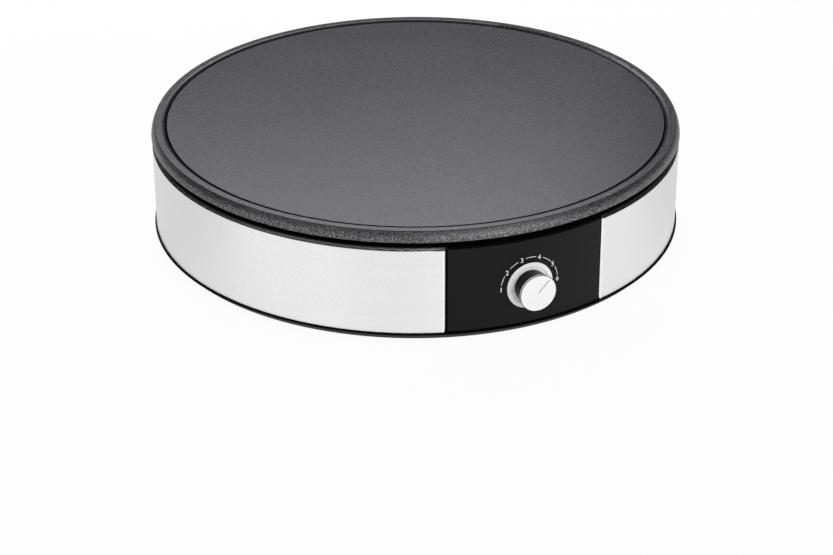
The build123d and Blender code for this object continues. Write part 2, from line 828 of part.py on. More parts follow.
# --- Clips for the bulb and the fuse ---
def clip(radius):
    # A strap over a rod that runs along X, with one flat foot towards +Y, built under z = 0.
    gap = seat_gap
    depth = 2 * radius + 2 * gap
    outer = radius + gap + clip_sheet
    strap = block(-clip_width / 2, clip_width / 2, -outer, outer, -depth - clip_sheet, 0)
    strap -= block(-clip_width, clip_width, -radius - gap, radius + gap, -depth, cutter)
    foot_y = outer + clip_foot
    foot = block(
        -clip_width / 2, clip_width / 2, outer - clip_sheet, foot_y,
        -clip_boss_depth - clip_sheet, -clip_boss_depth,
    )
    foot -= Pos(0, outer + clip_foot / 2, 0) * disc(st35_clear_radius, -depth - cutter, cutter)
    return strap + foot


def clip_screw_places():
    offset = seat_gap + clip_sheet + clip_foot / 2
    return [(0, bulb_y + bulb_radius + offset), (fuse_x - fuse_radius - offset, fuse_y)]


def clip_bosses(radius, past=0.0):
    low = under_z - clip_boss_depth - past
    return [Pos(x, y, 0) * disc(radius, low, under_z) for x, y in clip_screw_places()]


def bulb_clip():
    return Pos(0, bulb_y, under_z) * clip(bulb_radius)


def fuse_clip():
    return Pos(fuse_x, fuse_y, under_z) * Rot(0, 0, 90) * clip(fuse_radius)


def clip_screws():
    one = Pos(0, 0, under_z - clip_boss_depth - clip_sheet) * screw(
        st35_radius, clip_screw_length, st35_head_radius, st35_head_height
    )
    return [Pos(x, y, 0) * one for x, y in clip_screw_places()]


def thermal_fuse():
    body = Cylinder(fuse_radius, fuse_length)
    body = chamfer(body.edges(), rod_bevel)
    return Pos(fuse_x, fuse_y, fuse_z) * Rot(90, 0, 0) * body


# --- Base pan and feet ---
def base_pan():
    spigot_top = band_z + base_spigot_height
    pan = turned(
        (0, base_z),
        (base_radius - base_tuck, base_z),
        (base_radius, band_z - base_lip),
        (base_radius, band_z),
        (spigot_outer, band_z),
        (spigot_outer, spigot_top),
        (spigot_inner, spigot_top),
        (spigot_inner, floor_z),
        (0, floor_z),
    )
    rib = block(
        pan_rib_inner, spigot_inner + bite, -pan_rib_thickness / 2, pan_rib_thickness / 2,
        floor_z - bite, block_low_z,
    )
    pan += around(rib, 0, pan_rib_count, back)
    pan += ring(pan_rib_inner - pan_rib_thickness, pan_rib_inner + bite, floor_z - bite, block_low_z)
    for x in (-block_post_x, block_post_x):
        pan += Pos(x, block_y, 0) * disc(block_post_radius, floor_z - bite, block_low_z)
    pan += around(disc(pan_post_radius, base_z, pan_post_z), post_circle, post_count, post_start)
    pad = disc(base_boss_radius + base_pad_margin, base_z, base_pad_z)
    pan += around(pad, base_screw_circle, base_screw_count, base_screw_start)
    # The spigot opens for the shell's screw bosses and for its recessed front.
    half = base_boss_radius + notch_margin
    notch = block(-cutter, cutter, -half, half, base_pad_z, spigot_top + cutter)
    pan -= around(notch, spigot_outer, base_screw_count, base_screw_start)
    half = recess_half_angle + recess_side + recess_clear
    pan -= sector(
        spigot_inner - bite, spigot_outer + cutter, band_z, spigot_top + cutter, front - half, front + half
    )
    slot = Pos(0, 0, base_z - cutter) * extrude(SlotOverall(vent_length, vent_width), base_floor + 2 * cutter)
    pan -= around(slot, vent_circle, vent_count, 180.0 / vent_count)
    for shape in (
        disc(m4_head_radius + head_gap, base_z - cutter, long_screw_z),
        disc(m4_clear_radius, base_z, pan_post_z + cutter),
    ):
        pan -= around(shape, post_circle, post_count, post_start)
    for shape in (
        disc(st35_head_radius + head_gap, base_z - cutter, base_z + base_screw_recess),
        disc(st35_radius + loose_gap, base_z, base_pad_z + cutter),
    ):
        pan -= around(shape, base_screw_circle, base_screw_count, base_screw_start)
    for shape in (
        disc(foot_radius + seat_gap, base_z - cutter, base_z + foot_seat),
        disc(foot_stem_radius + seat_gap, base_z, floor_z + cutter),
    ):
        pan -= around(shape, foot_circle, post_count, post_start)
    return pan


def foot(index):
    seat_z = base_z + foot_seat
    shape = turned(
        (0, 0),
        (foot_radius - foot_taper, 0),
        (foot_radius, foot_taper),
        (foot_radius, seat_z),
        (foot_stem_radius, seat_z),
        (foot_stem_radius, floor_z),
        (foot_barb_radius, floor_z),
        (foot_barb_radius - foot_barb_taper, floor_z + foot_barb_height),
        (0, floor_z + foot_barb_height),
    )
    return Rot(0, 0, post_start + 360.0 / post_count * index) * Pos(foot_circle, 0, 0) * shape


def base_screws():
    one = Pos(0, 0, base_z + base_screw_recess) * screw(
        st35_radius, base_screw_length, st35_head_radius, st35_head_height
    )
    return around(one, base_screw_circle, base_screw_count, base_screw_start)


# --- Cord gland ---
def cord_gland():
    outer = band_radius + seat_gap
    collar = outer + gland_flange
    inner = sqrt((shell_radius - shell_wall) ** 2 - gland_inner_flange_radius ** 2) - seat_gap
    shape = turned(
        (gland_bore_radius, inner - gland_inner_flange),
        (gland_neck_radius, inner - gland_inner_flange),
        (gland_inner_flange_radius, inner),
        (gland_neck_radius, inner),
        (gland_neck_radius, outer),
        (gland_flange_radius, outer),
        (gland_flange_radius - gland_bevel, collar),
        (gland_collar_radius, collar),
        (gland_mouth_radius, collar + gland_collar),
        (gland_bore_radius, collar + gland_collar),
    )
    return Pos(0, 0, gland_z) * Rot(-90, 0, 0) * shape


# --- Wiring ---
def lead_place(index):
    return (index - 1) * block_pitch


def insert_space(x, gap):
    return Pos(x, block_y, block_lead_z) * Box(
        insert_width + 2 * gap, insert_length + 2 * gap, insert_height + 2 * gap
    )


def lead_hole(x, radius):
    return Pos(x, block_y, block_lead_z) * Rot(90, 0, 0) * Cylinder(radius, 2 * block_depth)


def terminal_block():
    shape = block(
        -block_width / 2, block_width / 2, block_y - block_depth / 2, block_y + block_depth / 2,
        block_low_z, block_low_z + block_height,
    )
    shape = chamfer(shape.edges().group_by(Axis.Z)[-1], block_bevel)
    for index in range(3):
        x = lead_place(index)
        shape -= insert_space(x, seat_gap)
        shape -= lead_hole(x, block_hole_radius)
    return shape


def terminal_insert(index):
    x = lead_place(index)
    return insert_space(x, 0) - lead_hole(x, insert_hole_radius)


def block_end(index):
    return lead_place(index), block_y - block_depth / 2 + block_entry, block_lead_z


def lead_turn_y():
    return stat_tab_y + lead_turn * (element_end_drop(1)[1] - stat_tab_y)


def live_lead():
    x, y, z = block_end(0)
    return wire_tube(
        [
            (x, y, z),
            (x, lead_turn_y() + lead_slope, z),
            (stat_tab_x, lead_turn_y(), stat_tab_z),
            (stat_tab_x, stat_tab_y, stat_tab_z),
        ],
        lead, lead_bend,
    )


def fuse_lead():
    return wire_tube(
        [
            (-stat_tab_x, stat_tab_y, stat_tab_z),
            (-stat_tab_x, lead_turn_y(), stat_tab_z),
            (fuse_x, fuse_front_y, stat_tab_z),
            (fuse_x, fuse_front_y, fuse_z),
            (fuse_x, fuse_y - fuse_length / 2, fuse_z),
        ],
        lead, lead_bend,
    )


def element_lead():
    x, y = element_end_drop(-1)
    return wire_tube(
        [
            (fuse_x, fuse_y + fuse_length / 2, fuse_z),
            (fuse_x, fuse_back_y, fuse_z),
            (fuse_x, fuse_back_y, block_lead_z),
            (x, y, block_lead_z),
            (x, y, tab_low_z),
        ],
        lead, lead_bend,
    )


def neutral_lead():
    x, y = element_end_drop(1)
    return wire_tube(
        [block_end(1), (0, earth_y, block_lead_z), (x, y, block_lead_z), (x, y, tab_low_z)],
        lead, lead_bend,
    )


def earth_lead():
    x, y, z = block_end(2)
    return wire_tube(
        [
            (x, y, z),
            (x, y - earth_lead_run, z),
            (earth_lug_x, earth_y, z),
            (earth_lug_x, earth_y, earth_low_z - earth_lug),
        ],
        lead, lead_bend,
    )


def earth_tab():
    half = tab_width / 2
    strip = block(-half, earth_strip, -half, half, earth_low_z - tab_thickness, earth_low_z)
    strip += block(
        earth_strip - tab_thickness, earth_strip, -half, half, earth_low_z - earth_lug, earth_low_z
    )
    strip -= disc(st35_clear_radius, earth_low_z - cutter, earth_low_z + cutter)
    return Pos(earth_x, earth_y, 0) * strip


def earth_screw():
    return Pos(earth_x, earth_y, earth_low_z - tab_thickness) * screw(
        st35_radius, earth_screw_length, st35_head_radius, st35_head_height
    )


# --- Every piece under its name ---
parts = {
    "cooking_plate": cooking_plate(),
    "heating_element": heating_element(),
    "heat_shield": heat_shield(),
    "plate_screws": plate_screws(),
    "clamp_screws": clamp_screws(),
    "side_band": side_band(),
    "housing_shell": housing_shell(),
    "control_panel": control_panel(),
    "dial_dish": dial_dish(),
    "knob_body": knob_body(),
    "knob_cap": knob_cap(),
    "thermostat_shaft": thermostat_shaft(),
    "thermostat_bush": thermostat_bush(),
    "thermostat_bracket": thermostat_bracket(),
    "thermostat_screws": thermostat_screws(),
    "thermostat_body": thermostat_body(),
    "thermostat_tab_left": thermostat_tab(-1),
    "thermostat_tab_right": thermostat_tab(1),
    "sensor_bulb": sensor_bulb(),
    "capillary_tube": capillary_tube(),
    "bulb_clip": bulb_clip(),
    "thermal_fuse": thermal_fuse(),
    "fuse_clip": fuse_clip(),
    "clip_screws": clip_screws(),
    "base_pan": base_pan(),
    "base_screws": base_screws(),
    "cord_gland": cord_gland(),
    "terminal_block": terminal_block(),
    "live_lead": live_lead(),
    "fuse_lead": fuse_lead(),
    "element_lead": element_lead(),
    "neutral_lead": neutral_lead(),
    "earth_lead": earth_lead(),
    "earth_tab": earth_tab(),
    "earth_screw": earth_screw(),
}
for side, name in ((-1, "left"), (1, "right")):
    parts[f"element_seal_{name}"] = element_seal(side)
    parts[f"element_tab_{name}"] = element_tab(side)
for index in range(clamp_count):
    parts[f"element_clamp_{index + 1}"] = element_clamp(index)
for index in range(post_count):
    parts[f"spacer_{index + 1}"] = spacer(index)
    parts[f"foot_{index + 1}"] = foot(index)
for index in range(3):
    parts[f"terminal_insert_{index + 1}"] = terminal_insert(index)

os.makedirs("parts", exist_ok=True)
for name, shape in parts.items():
    solid = Compound(children=shape) if isinstance(shape, list) else shape
    export_step(solid, f"parts/{name}.step")
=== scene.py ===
import math

import bpy
from mathutils import Matrix, Vector


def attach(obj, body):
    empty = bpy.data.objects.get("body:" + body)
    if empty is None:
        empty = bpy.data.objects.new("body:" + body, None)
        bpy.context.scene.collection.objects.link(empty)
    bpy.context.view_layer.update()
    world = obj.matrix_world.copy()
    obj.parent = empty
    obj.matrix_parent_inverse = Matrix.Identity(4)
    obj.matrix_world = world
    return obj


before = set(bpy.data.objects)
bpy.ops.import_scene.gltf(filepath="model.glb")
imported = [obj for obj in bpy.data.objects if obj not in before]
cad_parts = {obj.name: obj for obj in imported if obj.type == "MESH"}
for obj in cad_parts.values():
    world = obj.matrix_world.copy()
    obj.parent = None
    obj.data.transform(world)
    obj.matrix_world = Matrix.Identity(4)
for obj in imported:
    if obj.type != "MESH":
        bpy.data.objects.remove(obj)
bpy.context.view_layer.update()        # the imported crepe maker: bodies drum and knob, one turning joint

print("frame loaded")


class Wire:
    # one output of a node, with the usual operators
    def __init__(self, shader, socket):
        self.shader = shader
        self.socket = socket

    def __add__(self, other):
        return self.shader.maths("ADD", self, other)

    def __radd__(self, other):
        return self.shader.maths("ADD", other, self)

    def __sub__(self, other):
        return self.shader.maths("SUBTRACT", self, other)

    def __rsub__(self, other):
        return self.shader.maths("SUBTRACT", other, self)

    def __mul__(self, other):
        return self.shader.maths("MULTIPLY", self, other)

    def __rmul__(self, other):
        return self.shader.maths("MULTIPLY", other, self)

    def __pow__(self, other):
        return self.shader.maths("POWER", self, other)

    def around(self, middle, reach):
        # a noise moved to middle, with reach from its lowest to its highest
        return middle + (self - 0.5) * reach


class Shader:
    # the nodes of one material, or of the world, and how they are joined
    def __init__(self, name, owner=None):
        self.material = owner or bpy.data.materials.new(name)
        self.material.use_nodes = True
        self.tree = self.material.node_tree
        self.tree.nodes.clear()

    def node(self, kind, settings=None, inputs=None, out=0):
        made = self.tree.nodes.new(kind)
        for key, value in (settings or {}).items():
            setattr(made, key, value)
        for key, value in (inputs or {}).items():
            if isinstance(value, Wire):
                self.tree.links.new(value.socket, made.inputs[key])
            else:
                made.inputs[key].default_value = value
        return Wire(self, made.outputs[out]) if len(made.outputs) else None

    def maths(self, operation, *values):
        return self.node("ShaderNodeMath", {"operation": operation}, dict(enumerate(values)))

    def place(self):
        return self.node("ShaderNodeTexCoord", out="Object")

    def axes(self, vector, letters="XYZ"):
        return [self.node("ShaderNodeSeparateXYZ", None, {0: vector}, letter) for letter in letters]

    def stretched(self, vector, scale):
        return self.node("ShaderNodeVectorMath", {"operation": "MULTIPLY"}, {0: vector, 1: scale})

    def noise(self, vector, scale=1.0, detail=2.0, roughness=0.5):
        values = {"Vector": vector, "Scale": scale, "Detail": detail, "Roughness": roughness}
        return self.node("ShaderNodeTexNoise", None, values)

    def cells(self, vector, scale):
        return self.node("ShaderNodeTexVoronoi", None, {"Vector": vector, "Scale": scale})

    def rise(self, value, low, high):
        # 0 below low, 1 above high and smooth between them
        values = {"Value": value, "From Min": low, "From Max": high}
        return self.node("ShaderNodeMapRange", {"interpolation_type": "SMOOTHSTEP"}, values)

    def edge(self, value, place, blur):
        # 0 before a place, 1 past it
        return self.rise(value, place - blur, place + blur)

    def blend(self, share, first, second):
        # second over first by share, for colours
        first, second = [(*c, 1.0) if isinstance(c, tuple) else c for c in (first, second)]
        return self.node("ShaderNodeMix", {"data_type": "RGBA"}, {0: share, 6: first, 7: second}, 2)

    def bump(self, height, distance, strength=1.0):
        values = {"Height": height, "Distance": distance, "Strength": strength}
        return self.node("ShaderNodeBump", None, values)

    def layered(self, share, first, second):
        # second over first by share, for whole finishes
        return self.node("ShaderNodeMixShader", None, {0: share, 1: first, 2: second})

    def finish(self, body):
        self.node("ShaderNodeOutputMaterial", None, {"Surface": body})
        return self.material

    def coat(self, **values):
        # keys are the Principled sockets in camelCase, baseColor for Base Color
        sockets = {}
        for key, value in values.items():
            label = "".join(" " + c if c.isupper() else c for c in key).title()
            label = {"Specular Level": "Specular IOR Level"}.get(label, label)
            sockets[label] = (*value, 1.0) if isinstance(value, tuple) else value
        return self.node("ShaderNodeBsdfPrincipled", None, sockets)

    def surface(self, **values):
        return self.finish(self.coat(**values))


def dress(material, *names):
    for name in names:
        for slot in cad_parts[name].material_slots:
            slot.material = material


def named(start):
    return [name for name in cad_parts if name.startswith(start)]


# Cooking plate: dark grey non-stick coating, fine on the top and coarse on the side wall, with painted
# shade in the groove and at the top of the side wall
plateLook = {
    "topDark": (0.0015, 0.0015, 0.0025),
    "topLight": (0.043, 0.043, 0.048),
    "topSpeckle": (0.43, 0.60),           # the grain's heights where dark and light begin
    "topGrain": 0.0014,       # metres
    "topNoise": (3.0, 0.65),  # detail and roughness of the noise
    "topDepth": 0.00012,      # metres, of the grain's bump
    "topRoughness": 0.30,
    "topReach": 0.16,         # of the roughness, from grain to grain
    "topSpecular": 0.18,
    "gleam": (0.86, 0.82, 1.0),           # tint of the top's reflections
    "patchScale": 14.0,       # clouds per metre
    "patchNoise": (3.0, 0.6),
    "patchShare": 0.05,
    "patchReach": 0.06,
    "sideDark": (0.008, 0.008, 0.009),
    "sideLight": (0.200, 0.198, 0.206),
    "sideSpeckle": (0.46, 0.62),
    "sideGrain": 0.0009,
    "sideNoise": (2.0, 0.7),
    "sideDepth": 0.00022,
    "sideRoughness": 0.34,
    "sideReach": 0.10,
    "sideSpecular": 0.72,
    "bumpShare": 0.8,
    # painted shade in the groove round the cooking surface
    "paintedGrooveShadeColour": (0.002, 0.002, 0.0025),
    "grooveShadeShare": 0.95,
    "surfaceRadius": 0.1628,  # of the flat cooking surface, where the groove begins
    "grooveWidth": 0.0037,
    "grooveShadeFloor": 0.2,       # share of the width where the painted shade is darkest
    "grooveShadeBlur": 0.0001,
    "rimRadius": 0.1707,      # where the side wall begins
    "wallRadius": 0.1711,
    "shoulder": (0.006, 0.006, 0.007),    # painted shade: the side wall just under the rim, darker and less glossy
    "shoulderSpecular": 0.1,
    "shoulderShare": 0.56,
    "shoulderLow": 0.0708,
    "shoulderHigh": 0.0735,
}


def plateCoating():
    look = plateLook
    s = Shader("non_stick_coating")
    place = s.place()
    x, y, z = s.axes(place)
    radius = (x * x + y * y) ** 0.5
    start, width = look["surfaceRadius"], look["grooveWidth"]
    # mask of the groove's painted shade, darkest next to the cooking surface
    groove = s.edge(radius, start, look["grooveShadeBlur"])
    groove = groove * (1 - s.rise(radius, start + look["grooveShadeFloor"] * width, start + width))
    fine = s.noise(place, 1 / look["topGrain"], *look["topNoise"])
    patch = s.noise(place, look["patchScale"], *look["patchNoise"])
    coarse = s.noise(place, 1 / look["sideGrain"], *look["sideNoise"])
    speckle = s.rise(fine * (1 - look["patchShare"]) + patch * look["patchShare"], *look["topSpeckle"])
    shade = s.blend(speckle, look["topDark"], look["topLight"])
    top = s.coat(
        baseColor=s.blend(groove * look["grooveShadeShare"], shade, look["paintedGrooveShadeColour"]),
        roughness=patch.around(fine.around(look["topRoughness"], look["topReach"]), look["patchReach"]),
        normal=s.bump(fine, look["topDepth"], look["bumpShare"]),
        specularLevel=look["topSpecular"], specularTint=look["gleam"],
    )
    sideRough = coarse.around(look["sideRoughness"], look["sideReach"])
    side = s.coat(
        baseColor=s.blend(s.rise(coarse, *look["sideSpeckle"]), look["sideDark"], look["sideLight"]),
        roughness=sideRough, normal=s.bump(coarse, look["sideDepth"], look["bumpShare"]),
        specularLevel=look["sideSpecular"],
    )
    # painted shade: a darker, less glossy copy of the side wall for its top
    shoulder = s.coat(
        baseColor=s.blend(coarse, look["sideDark"], look["shoulder"]),
        roughness=sideRough, specularLevel=look["shoulderSpecular"],
    )
    wall = s.rise(radius, look["rimRadius"], look["wallRadius"])
    # the painted shade grows towards the top of the side wall
    shoulderShadeMask = s.rise(z, look["shoulderLow"], look["shoulderHigh"]) * look["shoulderShare"]
    return s.finish(s.layered(wall, top, s.layered(shoulderShadeMask, side, shoulder)))


dress(plateCoating(), "cooking_plate")

# Band: stainless sheet with a fine grain that runs round the drum
bandLook = {
    "dark": (0.855, 0.855, 0.86),
    "light": (0.885, 0.885, 0.89),
    "contrast": (0.28, 0.72),             # the grain's heights where dark and light begin
    "grainLength": 0.12,      # metres, one streak
    "grainHeight": 0.0004,
    "grainNoise": (2.0, 0.55),            # detail and roughness of the noise
    "broadLength": 2.0,       # broad streaks, in fine ones
    "broadHeight": 5.0,
    "broadShare": 0.25,
    "grainDepth": 0.000004,
    "bumpShare": 0.05,
    "roughness": 0.24,
    "roughReach": 0.02,
    "anisotropic": 0.95,
    "anisotropicRotation": 0.25,
    "bendHeight": 0.0622,     # where the rolled edge begins, duller, and darkened by painted shade
    "bendBlur": 0.0002,
    "bendRoughness": 0.40,
    "paintedBendShade": (0.05, 0.05, 0.05),
    "paintedBendHighlight": (0.20, 0.20, 0.20),
    "bendShadeToHighlight": (0.0004, 0.0010),         # metres above bendHeight, where the painted shade lightens into a painted highlight
}


def brushedBand():
    look = bandLook
    s = Shader("brushed_band")
    place = s.place()
    [z] = s.axes(place, "Z")
    along, up = 1 / look["grainLength"], 1 / look["grainHeight"]
    wide, tall = along / look["broadLength"], up / look["broadHeight"]
    streaks = s.noise(s.stretched(place, (along, along, up)), 1.0, *look["grainNoise"])
    broad = s.noise(s.stretched(place, (wide, wide, tall)))
    mark = s.rise(streaks * (1 - look["broadShare"]) + broad * look["broadShare"], *look["contrast"])
    # the rolled edge's colour is painted shade, lightening towards its top as a painted highlight
    bend = s.edge(z, look["bendHeight"], look["bendBlur"])
    turned = s.rise(z, *[look["bendHeight"] + height for height in look["bendShadeToHighlight"]])
    rolled = s.blend(turned, look["paintedBendShade"], look["paintedBendHighlight"])
    duller = bend * (look["bendRoughness"] - look["roughness"])
    return s.surface(
        baseColor=s.blend(bend, s.blend(mark, look["dark"], look["light"]), rolled),
        metallic=1.0, roughness=streaks.around(look["roughness"], look["roughReach"]) + duller,
        normal=s.bump(streaks, look["grainDepth"], look["bumpShare"]),
        anisotropic=look["anisotropic"], anisotropicRotation=look["anisotropicRotation"],
    )


dress(brushedBand(), "side_band")

# Dish and knob cap: satin metal, turned, so its grain runs round the knob's axis
dialLook = {
    "axisHeight": 0.0317,
    "dishDark": (0.91, 0.91, 0.915),
    "dishLight": (0.97, 0.97, 0.97),
    "capDark": (0.83, 0.83, 0.835),
    "capLight": (0.91, 0.91, 0.915),
    "edge": (0.04, 0.04, 0.045),          # painted shade on the cap's bevel, and the same dark in its engraved pointer
    "capFace": -0.18435,      # metres along Y
    "capBevel": 0.0004,
    "bevelBlur": 0.00002,
    "lineDepth": (0.00005, 0.00012),      # metres behind the face where the dark begins
    "turning": 0.00012,       # metres between turning marks
    "turningNoise": (2.0, 0.6),           # detail and roughness of the noise
    "turningDrift": 400.0,    # how fast the marks change along Y
    "turningDepth": 0.000006,
    "bumpShare": 0.6,
    "roughness": 0.45,
    "roughReach": 0.1,
    "metallic": 0.15,
}


def turnedMetal(part, lined):
    look = dialLook
    s = Shader("turned_" + part)
    x, y, z = s.axes(s.place())
    z = z - look["axisHeight"]
    radius = (x * x + z * z) ** 0.5
    spread = {0: radius * (1 / look["turning"]), 1: y * look["turningDrift"], 2: 0.0}
    marks = s.noise(s.node("ShaderNodeCombineXYZ", None, spread), 1.0, *look["turningNoise"])
    colour = s.blend(marks, look[part + "Dark"], look[part + "Light"])
    if lined:
        # painted shade, dark from about 0.1 to 0.4 mm behind the cap's face: on the bevel, and in the
        # engraved pointer
        depth = y - look["capFace"]
        bevelShadeAndPointer = s.rise(depth, *look["lineDepth"]) * (1 - s.edge(depth, look["capBevel"], look["bevelBlur"]))
        colour = s.blend(bevelShadeAndPointer, colour, look["edge"])
    return s.surface(
        baseColor=colour, metallic=look["metallic"],
        roughness=marks.around(look["roughness"], look["roughReach"]),
        normal=s.bump(marks, look["turningDepth"], look["bumpShare"]),
    )


dress(turnedMetal("dish", False), "dial_dish")
dress(turnedMetal("cap", True), "knob_cap")

# Knob: glossy black, with a thin white ring behind its cap, a painted highlight for a shining trim
knobLook = {
    "black": (0.0010, 0.0010, 0.0018),
    # painted highlight: the white of the ring behind the cap
    "bright": (0.92, 0.92, 0.92),
    "ringStart": -0.18335,    # metres along Y, where the cap ends
    "ringWidth": 0.0007,
    "ringBlur": 0.00005,
    "grain": 0.0006,
    "grainDepth": 0.00001,
    "bumpShare": 0.4,
    "roughness": 0.20,
    "roughReach": 0.06,
    "specular": 0.04,
}


def knobGloss():
    look = knobLook
    s = Shader("knob_gloss")
    place = s.place()
    [y] = s.axes(place, "Y")
    # a white band of painted highlight just behind the cap
    ring = 1 - s.edge(y - look["ringStart"], look["ringWidth"], look["ringBlur"])
    fine = s.noise(place, 1 / look["grain"])
    return s.surface(
        baseColor=s.blend(ring, look["black"], look["bright"]), specularLevel=look["specular"],
        roughness=fine.around(look["roughness"], look["roughReach"]),
        normal=s.bump(fine, look["grainDepth"], look["bumpShare"]),
    )


dress(knobGloss(), "knob_body")

# Mouldings: black plastic and rubber with the fine spark-eroded grain of their moulds
mouldLook = {
    # grain and depth in metres, gloss as the specular level
    "panel_moulding": {
        "nodes": ["control_panel"], "colour": (0.006, 0.006, 0.0065),
        "roughness": 0.42, "gloss": 0.12, "grain": 0.0004, "depth": 0.00004,
    },
    "housing_moulding": {
        "nodes": ["housing_shell", "base_pan"], "colour": (0.0025, 0.0025, 0.0025),
        "roughness": 0.50, "gloss": 0.07, "grain": 0.0005, "depth": 0.00006,
    },
    "gland_moulding": {
        "nodes": ["cord_gland"], "colour": (0.010, 0.010, 0.010),
        "roughness": 0.50, "gloss": 0.4, "grain": 0.0005, "depth": 0.00004,
    },
    "foot_rubber": {
        "nodes": named("foot_"), "colour": (0.012, 0.012, 0.012),
        "roughness": 0.75, "gloss": 0.3, "grain": 0.0007, "depth": 0.00008,
    },
}
mouldGrain = {
    "darkest": 0.75,          # share of the colour
    "lightest": 1.3,
    "contrast": (0.3, 0.7),
    "fineNoise": (2.0, 0.6),  # detail and roughness of the noise
    "fineReach": 0.12,
    "broadScale": 9.0,        # clouds per metre
    "broadShare": 0.4,
    "broadReach": 0.08,
    "bumpShare": 0.6,
}


def moulding(name, nodes, colour, roughness, gloss, grain, depth):
    look = mouldGrain
    s = Shader(name)
    place = s.place()
    fine = s.noise(place, 1 / grain, *look["fineNoise"])
    broad = s.noise(place, look["broadScale"])
    dark, light = [tuple(c * look[share] for c in colour) for share in ("darkest", "lightest")]
    mark = s.rise(fine * (1 - look["broadShare"]) + broad * look["broadShare"], *look["contrast"])
    finish = s.surface(
        baseColor=s.blend(mark, dark, light), specularLevel=gloss,
        roughness=broad.around(fine.around(roughness, look["fineReach"]), look["broadReach"]),
        normal=s.bump(fine, depth, look["bumpShare"]),
    )
    dress(finish, *nodes)


for finishName, values in mouldLook.items():
    moulding(finishName, **values)
print("outer finishes done")

# Plated, drawn and bare metal inside the housing: cloudy, with a fine grain
metalLook = {
    # grain in metres
    "plated_sheet": {
        "nodes": [
            "heat_shield", "thermostat_bracket", "thermostat_shaft", "bulb_clip", "fuse_clip",
            *named("element_clamp_"), *named("spacer_"),
        ],
        "dark": (0.42, 0.43, 0.44), "light": (0.66, 0.67, 0.68), "roughness": 0.38, "grain": 0.006,
    },
    "plated_screw": {
        "nodes": [
            "plate_screws", "clamp_screws", "clip_screws",
            "base_screws", "thermostat_screws", "earth_screw",
        ],
        "dark": (0.45, 0.45, 0.46), "light": (0.68, 0.68, 0.68), "roughness": 0.30, "grain": 0.002,
    },
    "bare_brass": {
        "nodes": [
            "thermostat_bush", "earth_tab",
            *named("thermostat_tab_"), *named("element_tab_"), *named("terminal_insert_"),
        ],
        "dark": (0.55, 0.40, 0.16), "light": (0.78, 0.62, 0.30), "roughness": 0.32, "grain": 0.003,
    },
    "drawn_copper": {
        "nodes": ["sensor_bulb", "capillary_tube"],
        "dark": (0.50, 0.22, 0.12), "light": (0.78, 0.42, 0.28), "roughness": 0.34, "grain": 0.004,
    },
    "element_sheath": {
        "nodes": ["heating_element"],
        "dark": (0.14, 0.12, 0.11), "light": (0.34, 0.30, 0.27), "roughness": 0.50, "grain": 0.008,
    },
}
metalGrain = {
    "cloudNoise": (4.0, 0.6),             # detail and roughness of the noise
    "cloudShare": 0.7,
    "spangleRate": 0.3,       # crystals per cloud
    "spangleShare": 0.5,
    "contrast": (0.2, 0.8),
    "roughReach": 0.2,
    "depth": 0.00003,
    "bumpShare": 0.4,
}


def sheetMetal(name, nodes, dark, light, roughness, grain):
    look = metalGrain
    s = Shader(name)
    place = s.place()
    cloud = s.noise(place, 1 / grain, *look["cloudNoise"])
    spangle = s.cells(place, look["spangleRate"] / grain)
    mark = s.rise(cloud * look["cloudShare"] + spangle * look["spangleShare"], *look["contrast"])
    finish = s.surface(
        baseColor=s.blend(mark, dark, light), metallic=1.0,
        roughness=cloud.around(roughness, look["roughReach"]),
        normal=s.bump(cloud, look["depth"], look["bumpShare"]),
    )
    dress(finish, *nodes)


for finishName, values in metalLook.items():
    sheetMetal(finishName, **values)

# Ceramic, resin and silicone inside the housing: cloudy colour and a soft grain
solidLook = {
    # grain and depth in metres
    "white_ceramic": {
        "nodes": ["thermal_fuse", "terminal_block", *named("element_seal_")],
        "dark": (0.66, 0.63, 0.56), "light": (0.82, 0.80, 0.75),
        "roughness": 0.62, "grain": 0.0015, "depth": 0.00005,
    },
    "thermostat_resin": {
        "nodes": ["thermostat_body"],
        "dark": (0.030, 0.022, 0.018), "light": (0.060, 0.045, 0.036),
        "roughness": 0.45, "grain": 0.0010, "depth": 0.00004,
    },
    "silicone_brown": {
        "nodes": ["live_lead", "fuse_lead", "element_lead"],
        "dark": (0.045, 0.018, 0.008), "light": (0.080, 0.036, 0.018),
        "roughness": 0.55, "grain": 0.0020, "depth": 0.00003,
    },
    "silicone_blue": {
        "nodes": ["neutral_lead"],
        "dark": (0.010, 0.040, 0.170), "light": (0.020, 0.075, 0.270),
        "roughness": 0.55, "grain": 0.0020, "depth": 0.00003,
    },
}
solidGrain = {
    "fineNoise": (3.0, 0.6),  # detail and roughness of the noise
    "broadRate": 0.15,        # clouds per grain
    "broadShare": 0.5,
    "contrast": (0.3, 0.7),
    "roughReach": 0.15,
    "bumpShare": 0.5,
}


def mattSolid(name, nodes, dark, light, roughness, grain, depth):
    look = solidGrain
    s = Shader(name)
    place = s.place()
    fine = s.noise(place, 1 / grain, *look["fineNoise"])
    broad = s.noise(place, look["broadRate"] / grain)
    mark = s.rise(fine * (1 - look["broadShare"]) + broad * look["broadShare"], *look["contrast"])
    finish = s.surface(
        baseColor=s.blend(mark, dark, light), roughness=fine.around(roughness, look["roughReach"]),
        normal=s.bump(fine, depth, look["bumpShare"]),
    )
    dress(finish, *nodes)


for finishName, values in solidLook.items():
    mattSolid(finishName, **values)

# Earth lead: green insulation with yellow stripes
stripeLook = {
    "green": (0.03, 0.20, 0.04),
    "yellow": (0.62, 0.52, 0.04),
    "slant": 0.8,             # how far the stripes lean along X
    "spacing": 0.0016,        # metres, half of a stripe's repeat
    "stripe": (0.0009, 0.0011),
    "grainScale": 500.0,
    "roughness": 0.5,
    "roughReach": 0.1,
}


